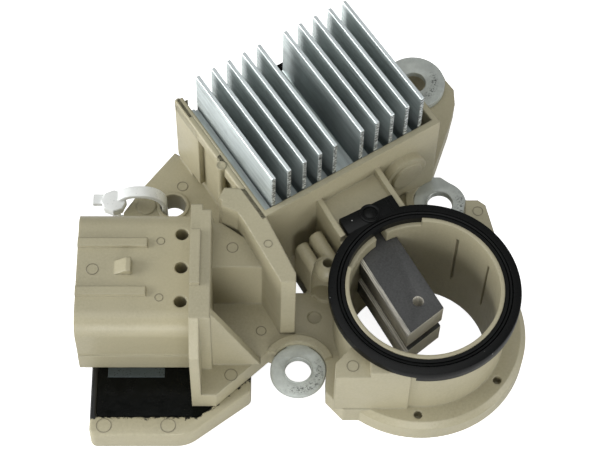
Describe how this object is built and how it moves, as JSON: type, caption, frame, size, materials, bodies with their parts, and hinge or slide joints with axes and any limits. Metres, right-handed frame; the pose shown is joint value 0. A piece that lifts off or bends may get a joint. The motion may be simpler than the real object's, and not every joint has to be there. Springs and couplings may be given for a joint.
{
  "type": "alternator_voltage_regulator",
  "caption": "Alternator voltage regulator with an angled finned heat sink, a plug, and a round brush holder whose sprung carbon brushes slide in its bore.",
  "frame": {"origin": "on the axis of the slip ring bore, in the plane of the underside", "axes": "+Z runs along the bore and out of the sealed end; -X is the way the plug leaves; +Y points from the bore towards the heat sink box"},
  "size_m": [0.0938, 0.0916, 0.0446],
  "materials": {
    "housing_plastic": "satin beige glass-filled moulding with ejector marks",
    "potting_compound": "glossy black hardened resin",
    "module_plate_metal": "dull dark grey plate",
    "heat_sink_aluminium": "extruded fins with sawn bright ends",
    "board_laminate": "green circuit board",
    "chip_moulding": "black moulded package",
    "seal_rubber": "smooth dark rubber with a slight sheen",
    "brush_carbon": "pressed carbon, scuffed light at the tip",
    "spring_steel": "drawn spring wire",
    "conductor_metal": "plain conductor metal",
    "terminal_steel": "dull plated steel, scuffed where a bolt head sat",
    "tie_nylon": "milky translucent nylon"
  },
  "bodies": {
    "holder": {"housing": "housing_plastic", "module_case": "housing_plastic", "potting_compound": "potting_compound", "module_plate": "module_plate_metal", "heat_sink": "heat_sink_aluminium", "heat_sink_sealant": "potting_compound", "control_board": "board_laminate", "regulator_chip": "chip_moulding", "seal_ring": "seal_rubber", "brush_spring_upper": "spring_steel", "brush_spring_lower": "spring_steel", "brush_lead_upper": "conductor_metal", "brush_lead_lower": "conductor_metal", "brush_terminal_upper": "conductor_metal", "brush_terminal_lower": "conductor_metal", "terminal_eyelet_front": "terminal_steel", "terminal_eyelet_right": "terminal_steel", "terminal_disc_rear": "terminal_steel", "connector_pin_1": "conductor_metal", "connector_pin_2": "conductor_metal", "connector_pin_3": "conductor_metal", "cable_tie": "tie_nylon"},
    "upper_brush": {"brush_upper": "brush_carbon"},
    "lower_brush": {"brush_lower": "brush_carbon"}
  },
  "joints": [
    {"name": "brush_upper_slide", "type": "slide", "parent": "holder", "child": "upper_brush", "axis": [-0.4772, 0.8788, 0], "range_m": [0, 0.0202], "stiffness_N_per_m": 60, "springref_m": -0.04, "deforming": ["brush_spring_upper", "brush_lead_upper"]},
    {"name": "brush_lower_slide", "type": "slide", "parent": "holder", "child": "lower_brush", "axis": [-0.4772, 0.8788, 0], "range_m": [0, 0.0202], "stiffness_N_per_m": 60, "springref_m": -0.04, "deforming": ["brush_spring_lower", "brush_lead_lower"]}
  ]
}
